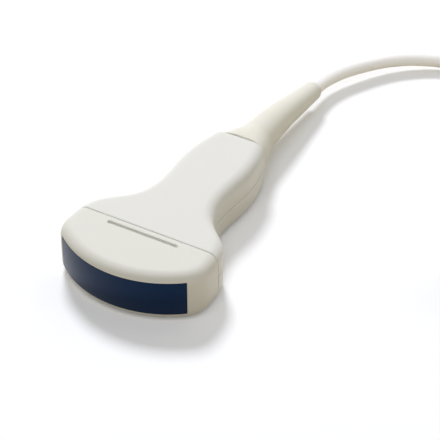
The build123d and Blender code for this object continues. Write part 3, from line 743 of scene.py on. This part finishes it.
class PROBE_OT_strain_relief(bpy.types.Operator):
    """Mould the strain relief: collar against the handle, taper along the cable, neck and flange inside"""

    bl_idname = "probe.mould_strain_relief"
    bl_label = "Strain relief"

    def execute(self, context):
        s = sizes()
        bm = bmesh.new()

        def ring(at, width, height, level=None, square=0.0):
            """Lay a ring round the cable's line, or at a level of its own."""
            point, run = cable_line(s, at)
            power = 2 / (2 + square)
            if level is not None:
                point.z = level
            up = Vector((1, 0, 0)).cross(run).normalized()
            side = run.cross(up)
            return [
                bm.verts.new(
                    point
                    + side * (width / 2 * copysign(abs(cos(t)) ** power, cos(t)))
                    + up * (height / 2 * copysign(abs(sin(t)) ** power, sin(t)))
                )
                for t in np.linspace(0, 2 * pi, RING_STEPS, endpoint=False)
            ]

        def rise(climb):
            """Give the level on the way from the middle of the handle up to the cable's line."""
            return None if climb >= 1.0 else middle + (s.bend_level - middle) * climb

        end, middle = s.handle_end, s.thickness / 2
        base = end + s.base_reach
        places = np.array((end, end + s.swell_reach, base))
        widths = np.polyfit(places, (s.collar_width, s.swell_width, s.base_diameter), 2)
        heights = np.polyfit(places, (s.collar_height, s.swell_height, s.base_diameter), 2)
        taper = (s.tip_diameter - s.base_diameter) / (s.overall - base)
        rings = []
        for back, in_by in COLLAR_GROOVE:
            at = end + back
            width, height = (np.polyval(side, at) - in_by for side in (widths, heights))
            rings.append(ring(at, width, height, middle, s.collar_square))
        for at in np.linspace(end + SKIN_START, s.overall - TIP_ROUND, TAPER_STEPS + 1):
            width = height = along = s.base_diameter + taper * (at - base)
            if at <= base + TAPER_BLEND:
                width, height = (self.soft_max(np.polyval(side, at), along) for side in (widths, heights))
            climb = min((at - end) / s.base_reach, 1.0)
            level = rise(climb * climb * (3 - 2 * climb))
            rings.append(ring(at, width, height, level, s.collar_square * (1 - climb) ** 2))
        for t in np.linspace(0, pi / 2, TIP_STEPS + 1)[1:]:
            width = s.tip_diameter - 2 * TIP_ROUND * (1 - cos(t))
            rings.append(ring(s.overall - TIP_ROUND * (1 - sin(t)), width, width))
        bore = s.cable_diameter + 2 * FIT
        rings.append(ring(s.overall, bore, bore))
        for at in np.linspace(s.overall - BORE_START, end, BORE_STEPS + 1):
            rings.append(ring(at, bore, bore, rise((at - end) / s.base_reach)))
        wall = end - s.end_wall
        inner = wall - s.flange_thickness
        for at, width in (
            (inner, bore),
            (inner, s.boot_flange),
            (wall, s.boot_flange),
            (wall, s.boot_neck),
            (end + FIT, s.boot_neck),
        ):
            rings.append(ring(at, width, width, middle))
        bridge(bm, rings + rings[:1], closed=True)
        add_piece("strain_relief", bm, "boot", "strain_relief_boot")
        return {"FINISHED"}

    @staticmethod
    def soft_max(first, second):
        """Give the larger of two sizes, with a soft change from one to the other."""
        return 0.5 * (first + second + sqrt((first - second) ** 2 + TAPER_SOFTNESS**2))


class PROBE_OT_cable(bpy.types.Operator):
    """Lay the cable: droop from the strain relief, run down to the table, coil, tail to the connector"""

    bl_idname = "probe.lay_cable"
    bl_label = "Cable"

    def execute(self, context):
        s = sizes()
        route = self.route(s)
        curve = bpy.data.curves.new("cable", "CURVE")
        curve.dimensions = "3D"
        curve.bevel_depth = s.cable_diameter / 2
        curve.bevel_resolution = 6
        curve.resolution_u = 4
        curve.use_fill_caps = True
        spline = curve.splines.new("NURBS")
        spline.points.add(len(route) - 1)
        for point, place in zip(spline.points, route):
            point.co = (*place, 1.0)
        spline.order_u = 3
        spline.use_endpoint_u = True
        curve.materials.append(finish_of("cable_run"))
        cable = bpy.data.objects.new("cable", curve)
        context.scene.collection.objects.link(cable)
        declare(cable, "jacket", "cable_run", "cable_coil", "cable_tail")
        return {"FINISHED"}

    @staticmethod
    def route(s):
        """Give the points of the cable's route from the strain relief to the connector."""
        inside, _ = cable_line(s, s.overall - s.cable_inside)
        tip, run = cable_line(s, s.overall)
        radius = s.cable_diameter / 2
        behind = s.overall / 2
        points = [inside, tip, tip + run * CABLE_LEAD]
        points += [Vector((x, behind + y, radius + off)) for x, y, off in CABLE_RUN]
        middle = Vector((s.coil_x, behind + s.coil_behind, s.tie_thickness + radius))
        before, past = COIL_ENTRY
        points.append(middle + Vector((before, s.coil_radius + radius + past, 0)))
        # The curve runs a little inside its points, so the points lie a little further out.
        swell = 1 / (0.75 + 0.25 * cos(radians(COIL_STEP)))
        moves = [360.0 * k - MOVE_BEFORE - MOVE_EARLIER * (k - 1) for k in range(1, len(COIL_CELLS))]
        for turned in np.arange(COIL_STEP / 2, COIL_TURNS * 360 + 1, COIL_STEP):
            column, layer = COIL_CELLS[0]
            for move, cell, following in zip(moves, COIL_CELLS, COIL_CELLS[1:]):
                done = min(max((turned - move) / MOVE_SPAN + 0.5, 0.0), 1.0)
                done = done * done * (3 - 2 * done)
                column += done * (following[0] - cell[0])
                layer += done * (following[1] - cell[1])
            across = (s.coil_radius + column * radius) * swell
            turn = radians(90.0 - turned)
            points.append(middle + Vector((across * cos(turn), across * sin(turn), layer * s.cable_diameter)))
        top = COIL_CELLS[-1][1] * s.cable_diameter
        out = middle + Vector((s.coil_radius + radius, 0, top))
        low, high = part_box("connector_boot")
        plug = Vector(((low[0] + high[0]) / 2, high[1], (low[2] + high[2]) / 2))
        lead = Vector((0, TAIL_LEAD, 0))
        points += [out, out - lead, plug + lead, plug]
        return points


class PROBE_OT_tie(bpy.types.Operator):
    """Close the strap round the coil"""

    bl_idname = "probe.tie_coil"
    bl_label = "Coil tie"

    def execute(self, context):
        s = sizes()
        low, high = (Vector(corner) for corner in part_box("coil_tie"))
        centre = (low + high) / 2
        half = (high - low) / 2
        bm = bmesh.new()
        outline = []
        for k, (sy, sz) in enumerate(((1, 1), (-1, 1), (-1, -1), (1, -1))):
            y, z = centre.y + sy * (half.y - STRAP_CORNER), centre.z + sz * (half.z - STRAP_CORNER)
            turns = np.linspace(k * pi / 2, (k + 1) * pi / 2, STRAP_STEPS + 1)
            outline += [(y, z, cos(t), sin(t)) for t in turns]
        rings = []
        for x, in_by in ((-half.x, 0), (half.x, 0), (half.x, s.tie_thickness), (-half.x, s.tie_thickness)):
            radius = STRAP_CORNER - in_by
            places = [(centre.x + x, y + radius * c, z + radius * u) for y, z, c, u in outline]
            rings.append([bm.verts.new(place) for place in places])
        bridge(bm, rings + rings[:1], closed=True)
        bmesh.ops.recalc_face_normals(bm, faces=bm.faces)
        edges = [edge for ring in rings for edge in edges_along(bm, ring, closed=True)]
        break_edges(bm, edges, STRAP_EDGE)
        add_piece("coil_strap", bm, "tie", "coil_tie")
        return {"FINISHED"}


class PROBE_OT_connector(bpy.types.Operator):
    """Close the connector case round its shroud, contact block and boot"""

    bl_idname = "probe.fit_connector"
    bl_label = "Connector"

    def execute(self, context):
        for node, name, slot, edge in (
            ("connector_lower_shell", "lower_connector_case", "connector_case", CASE_EDGE),
            ("connector_upper_shell", "upper_connector_case", "connector_case", CASE_EDGE),
            ("connector_shroud", "shroud_shell", "shroud", SHROUD_EDGE),
            ("contact_block", "contact_insulator", "black_plastic", 0.0),
            ("connector_boot", "plug_boot", "boot", CASE_EDGE),
        ):
            bm = bmesh.new()
            bm.from_mesh(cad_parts[node].data)
            bmesh.ops.remove_doubles(bm, verts=bm.verts, dist=WELD)
            bmesh.ops.dissolve_limit(bm, angle_limit=FLAT, verts=bm.verts, edges=bm.edges, delimit={"NORMAL"})
            add_piece(name, bm, slot, node, edge)
        return {"FINISHED"}


def start_tree(name, inputs):
    """Start a geometry tree, and give it with its named inputs."""
    tree = bpy.data.node_groups.new(name, "GeometryNodeTree")
    for label, kind in (("Geometry", "Geometry"), *inputs):
        tree.interface.new_socket(label, in_out="INPUT", socket_type="NodeSocket" + kind)
    tree.interface.new_socket("Geometry", in_out="OUTPUT", socket_type="NodeSocketGeometry")
    return tree, tree.nodes.new("NodeGroupInput").outputs


def block(tree, x, y, z):
    """Give a block in a tree."""
    size = add_node(tree, "ShaderNodeCombineXYZ", {"X": x, "Y": y, "Z": z}).outputs["Vector"]
    return add_node(tree, "GeometryNodeMeshCube", {"Size": size}).outputs["Mesh"]


def raised(tree, mesh, lift, turn=0.0):
    """Raise and turn a mesh in a tree."""
    shift = add_node(tree, "ShaderNodeCombineXYZ", {"Z": lift}).outputs["Vector"]
    place = {"Geometry": mesh, "Translation": shift, "Rotation": (0, 0, turn)}
    return add_node(tree, "GeometryNodeTransform", place).outputs["Geometry"]


def end_tree(tree, points, parts, turn):
    """Finish a geometry tree: its parts stand on every point, made real, then the material."""
    joined = add_node(tree, "GeometryNodeJoinGeometry", {"Geometry": parts}).outputs["Geometry"]
    place = {"Points": points, "Instance": joined, "Rotation": turn}
    spread = add_node(tree, "GeometryNodeInstanceOnPoints", place).outputs["Instances"]
    real = add_node(tree, "GeometryNodeRealizeInstances", {"Geometry": spread}).outputs["Geometry"]
    paint = add_node(tree, "GeometryNodeSetMaterial", {"Geometry": real}).outputs["Geometry"]
    add_node(tree, "NodeGroupOutput", {"Geometry": paint})


def grow(name, points, tree, values, slot, node):
    """Run a geometry tree on some points and keep the result as a plain mesh that stands for a solid."""
    mesh = bpy.data.meshes.new(name)
    mesh.from_pydata(points, [], [])
    piece = bpy.data.objects.new(name, mesh)
    bpy.context.scene.collection.objects.link(piece)
    modifier = piece.modifiers.new(name, "NODES")
    modifier.node_group = tree
    for item in tree.interface.items_tree:
        if item.in_out == "INPUT" and item.name in values:
            modifier[item.identifier] = values[item.name]
    tree.nodes["Set Material"].inputs["Material"].default_value = finish_of(node)
    graph = bpy.context.evaluated_depsgraph_get()
    made = bpy.data.meshes.new_from_object(piece.evaluated_get(graph))
    if not made.polygons:
        raise RuntimeError(f"{name}: the geometry tree made no faces")
    piece.modifiers.clear()
    piece.data = made
    made.name = name
    declare(piece, slot, node)


class PROBE_OT_contacts(bpy.types.Operator):
    """Seat the rows of contacts in the connector"""

    bl_idname = "probe.seat_contacts"
    bl_label = "Contacts"

    def execute(self, context):
        s = sizes()
        low, high = (Vector(corner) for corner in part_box("connector_contacts"))
        middle = (low + high) / 2
        across = (s.contact_columns - 1) * s.contact_pitch / 2
        up = (s.contact_rows - 1) * s.contact_pitch / 2
        points = [
            (middle.x + x, high.y, middle.z + z)
            for x in np.linspace(-across, across, s.contact_columns)
            for z in np.linspace(-up, up, s.contact_rows)
        ]
        values = {"Size": s.contact_size, "Length": high.y - low.y, "Point": CONTACT_POINT}
        grow("contact_pins", points, self.contact_tree(), values, "gold", "connector_contacts")
        return {"FINISHED"}

    @staticmethod
    def contact_tree():
        """Give the tree of a square contact that tapers to its point."""
        tree, given = start_tree("contact rows", [(name, "Float") for name in ("Size", "Length", "Point")])
        size, point = given["Size"], given["Point"]
        straight = reckon(tree, "SUBTRACT", given["Length"], point)
        shank = raised(tree, block(tree, size, size, straight), reckon(tree, "MULTIPLY", straight, 0.5))
        cone = {
            "Vertices": 4,
            "Radius Top": reckon(tree, "MULTIPLY", size, CONTACT_TIP),
            "Radius Bottom": reckon(tree, "MULTIPLY", size, sqrt(0.5)),
            "Depth": point,
        }
        tip = raised(tree, add_node(tree, "GeometryNodeMeshCone", cone).outputs["Mesh"], straight, pi / 4)
        end_tree(tree, given["Geometry"], [shank, tip], (pi / 2, 0, 0))
        return tree


class PROBE_OT_screws(bpy.types.Operator):
    """Drive the screws of the connector case and of the board, with cross recesses in their heads"""

    bl_idname = "probe.drive_screws"
    bl_label = "Screws"

    def execute(self, context):
        tree = self.screw_tree()
        low, high = (Vector(corner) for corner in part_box("connector_screws"))
        head = CASE_SCREW["Head"]
        points = [(x, y, low.z) for x in (low.x + head, high.x - head) for y in (low.y + head, high.y - head)]
        values = {**CASE_SCREW, "Length": high.z - low.z, "Turn": (0.0, 0.0, DRIVEN)}
        grow("case_screws", points, tree, values, "steel", "connector_screws")
        low, high = (Vector(corner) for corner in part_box("board_screws"))
        head = BOARD_SCREW["Head"]
        points = [((low.x + high.x) / 2, y, high.z) for y in (low.y + head, high.y - head)]
        values = {**BOARD_SCREW, "Length": high.z - low.z, "Turn": (pi, 0.0, 0.0)}
        grow("board_fixings", points, tree, values, "steel", "board_screws")
        return {"FINISHED"}

    @staticmethod
    def screw_tree():
        """Give the tree of a pan-head screw that stands head down on its point."""
        lengths = [(name, "Float") for name in ("Head", "Rise", "Shank", "Length")]
        tree, given = start_tree("screws", [*lengths, ("Turn", "Vector")])
        radius, rise = given["Head"], given["Rise"]
        disc = {"Vertices": HEAD_STEPS, "Radius": radius, "Depth": rise}
        pan = add_node(tree, "GeometryNodeMeshCylinder", disc).outputs["Mesh"]
        pan_up = raised(tree, pan, reckon(tree, "MULTIPLY", rise, 0.5))
        long_way, short_way, deep = (reckon(tree, "MULTIPLY", radius, part) for part in RECESS)
        bars = [block(tree, x, y, deep) for x, y in ((long_way, short_way), (short_way, long_way))]
        meshes = {"Mesh 1": pan_up, "Mesh 2": bars}
        cut = add_node(tree, "GeometryNodeMeshBoolean", meshes, operation="DIFFERENCE")
        straight = reckon(tree, "SUBTRACT", given["Length"], rise)
        round_bar = {"Vertices": SHANK_STEPS, "Radius": given["Shank"], "Depth": straight}
        shank = add_node(tree, "GeometryNodeMeshCylinder", round_bar).outputs["Mesh"]
        lift = reckon(tree, "ADD", reckon(tree, "MULTIPLY", straight, 0.5), rise)
        end_tree(tree, given["Geometry"], [cut.outputs["Mesh"], raised(tree, shank, lift)], given["Turn"])
        return tree


class PROBE_OT_solids(bpy.types.Operator):
    """Give every solid its finish, which shows where no piece stands for it"""

    bl_idname = "probe.finish_solids"
    bl_label = "Finishes of the solids"

    def execute(self, context):
        for node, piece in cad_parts.items():
            piece.data.materials.clear()
            piece.data.materials.append(finish_of(node))
        return {"FINISHED"}


class PROBE_OT_declare(bpy.types.Operator):
    bl_idname = "probe.declare_cable"
    bl_label = "Cable facts"

    def execute(self, context):
        case = ("lower_connector_case", "upper_connector_case", "shroud_shell", "contact_insulator")
        on_it = ("coil_strap", *case, "plug_boot", "contact_pins", "case_screws")
        pieces = [bpy.data.objects[name] for name in on_it]
        inner = ("connector_board", "connector_ferrule", "cable_end", "connector_ribbon")
        pieces += [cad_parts[name] for name in inner]
        return {"FINISHED"}


def seen_directly(tree):
    """Give 1 for what the camera sees, straight or in a reflection or through glass, and 0 for soft light."""
    rays = tree.nodes.new("ShaderNodeLightPath").outputs
    seen = rays["Is Camera Ray"]
    for kind in ("Is Transmission Ray", "Is Glossy Ray"):
        seen = reckon(tree, "MAXIMUM", seen, rays[kind])
    return seen


class PROBE_OT_stage(bpy.types.Operator):
    """Set the table, the lamps, the surroundings and the camera"""

    bl_idname = "probe.set_stage"
    bl_label = "Stage"

    def execute(self, context):
        scene = context.scene
        studio = scene.probe_studio
        scene.view_settings.view_transform = "Standard"
        mesh = bpy.data.meshes.new("table")
        corners = [(TABLE_REACH * x, TABLE_REACH * y, 0) for x, y in ((-1, -1), (1, -1), (1, 1), (-1, 1))]
        mesh.from_pydata(corners, [], [(0, 1, 2, 3)])
        mesh.materials.append(self.table_paper())
        table = bpy.data.objects.new("table", mesh)
        scene.collection.objects.link(table)
        self.surroundings(scene, studio)
        for name, place, size, colour in LAMPS:
            self.lamp(scene, f"{name} lamp", Vector(place), size, getattr(studio, name), colour)
        self.camera(scene, studio)
        return {"FINISHED"}

    @staticmethod
    def table_paper():
        """Make the white paper of the table, which sends a weaker and warmer light back to the probe."""
        material = bpy.data.materials.new("white table paper")
        material.use_nodes = True
        tree = material.node_tree
        paper = tree.nodes["Principled BSDF"].inputs
        paper["Roughness"].default_value = 0.9
        paper["Specular IOR Level"].default_value = 0.1
        paper["Emission Color"].default_value = GLOW_COLOUR
        seen = seen_directly(tree)
        shades = {"Factor": seen, "A": PAPER_SOFT, "B": PAPER_SEEN}
        shade = add_node(tree, "ShaderNodeMix", shades, data_type="RGBA")
        tree.links.new(shade.outputs["Result"], paper["Base Color"])
        tree.links.new(reckon(tree, "MULTIPLY", seen, PAPER_GLOW), paper["Emission Strength"])
        return material

    @staticmethod
    def surroundings(scene, studio):
        """Light the probe softly from all round, with a white backdrop for the camera."""
        world = bpy.data.worlds.new("studio")
        world.use_nodes = True
        tree = world.node_tree
        soft = tree.nodes["Background"]
        soft.inputs["Color"].default_value = FILL_COLOUR
        soft.inputs["Strength"].default_value = studio.fill
        white = tree.nodes.new("ShaderNodeBackground")
        both = {"Fac": seen_directly(tree), 1: soft.outputs["Background"], 2: white.outputs["Background"]}
        mix = add_node(tree, "ShaderNodeMixShader", both)
        tree.links.new(mix.outputs["Shader"], tree.nodes["World Output"].inputs["Surface"])
        scene.world = world

    @staticmethod
    def lamp(scene, name, place, size, power, colour):
        """Hang a round lamp that looks at the probe."""
        light = bpy.data.lights.new(name, "AREA")
        light.shape = "DISK"
        light.size = size
        light.energy = power
        light.color = colour
        lamp = bpy.data.objects.new(name, light)
        lamp.location = place
        lamp.visible_glossy = False
        lamp.rotation_euler = (-place).to_track_quat("-Z", "Y").to_euler()
        scene.collection.objects.link(lamp)

    @staticmethod
    def camera(scene, studio):
        """Set the camera at the viewing angle of the photo."""
        aim = Vector((studio.aim_x, studio.aim_y, 0.0))
        level = cos(studio.elevation)
        back = Vector((sin(studio.azimuth) * level, -cos(studio.azimuth) * level, sin(studio.elevation)))
        data = bpy.data.cameras.new("camera")
        data.lens = studio.lens
        data.sensor_width = 36.0
        data.clip_start = 0.01
        data.clip_end = 50.0
        camera = bpy.data.objects.new("camera", data)
        camera.location = aim + back * studio.distance
        camera.rotation_euler = (-back).to_track_quat("-Z", "Y").to_euler()
        scene.collection.objects.link(camera)
        scene.camera = camera


OPERATORS = (
    PROBE_OT_stage,
    PROBE_OT_solids,
    PROBE_OT_cable,
    PROBE_OT_nosepiece,
    PROBE_OT_lens,
    PROBE_OT_handle,
    PROBE_OT_strain_relief,
    PROBE_OT_tie,
    PROBE_OT_connector,
    PROBE_OT_contacts,
    PROBE_OT_screws,
    PROBE_OT_declare,
)


class PROBE_PT_panel(bpy.types.Panel):
    """Lists the pieces, their sizes and their colours"""

    bl_idname = "PROBE_PT_panel"
    bl_label = "Ultrasound Probe"
    bl_space_type = "VIEW_3D"
    bl_region_type = "UI"
    bl_category = "Probe"

    def draw(self, context):
        layout = self.layout
        for operator in OPERATORS:
            layout.operator(operator.bl_idname)
        scene = context.scene
        for group in (scene.probe_sizes, scene.probe_finishes, scene.probe_studio):
            box = layout.box()
            for name in group.__annotations__:
                box.prop(group, name)


CLASSES = (ProbeSizes, ProbeFinishes, ProbeStudio, *OPERATORS, PROBE_PT_panel)


def register():
    """Register the classes and hang the settings on the scene."""
    for cls in CLASSES:
        bpy.utils.register_class(cls)
    bpy.types.Scene.probe_sizes = bpy.props.PointerProperty(type=ProbeSizes)
    bpy.types.Scene.probe_finishes = bpy.props.PointerProperty(type=ProbeFinishes)
    bpy.types.Scene.probe_studio = bpy.props.PointerProperty(type=ProbeStudio)


def unregister():
    """Take the settings off the scene and the classes away."""
    del bpy.types.Scene.probe_studio
    del bpy.types.Scene.probe_finishes
    del bpy.types.Scene.probe_sizes
    for cls in reversed(CLASSES):
        bpy.utils.unregister_class(cls)


def main():
    """Build the probe and its stage."""
    register()
    bpy.ops.probe.set_stage()
    bpy.ops.probe.finish_solids()
    bpy.ops.probe.lay_cable()
    bpy.ops.probe.mould_nosepiece()
    bpy.ops.probe.cast_lens()
    bpy.ops.probe.mould_handle()
    bpy.ops.probe.mould_strain_relief()
    bpy.ops.probe.tie_coil()
    bpy.ops.probe.fit_connector()
    bpy.ops.probe.seat_contacts()
    bpy.ops.probe.drive_screws()
    bpy.ops.probe.declare_cable()


if __name__ == "__main__":
    main()
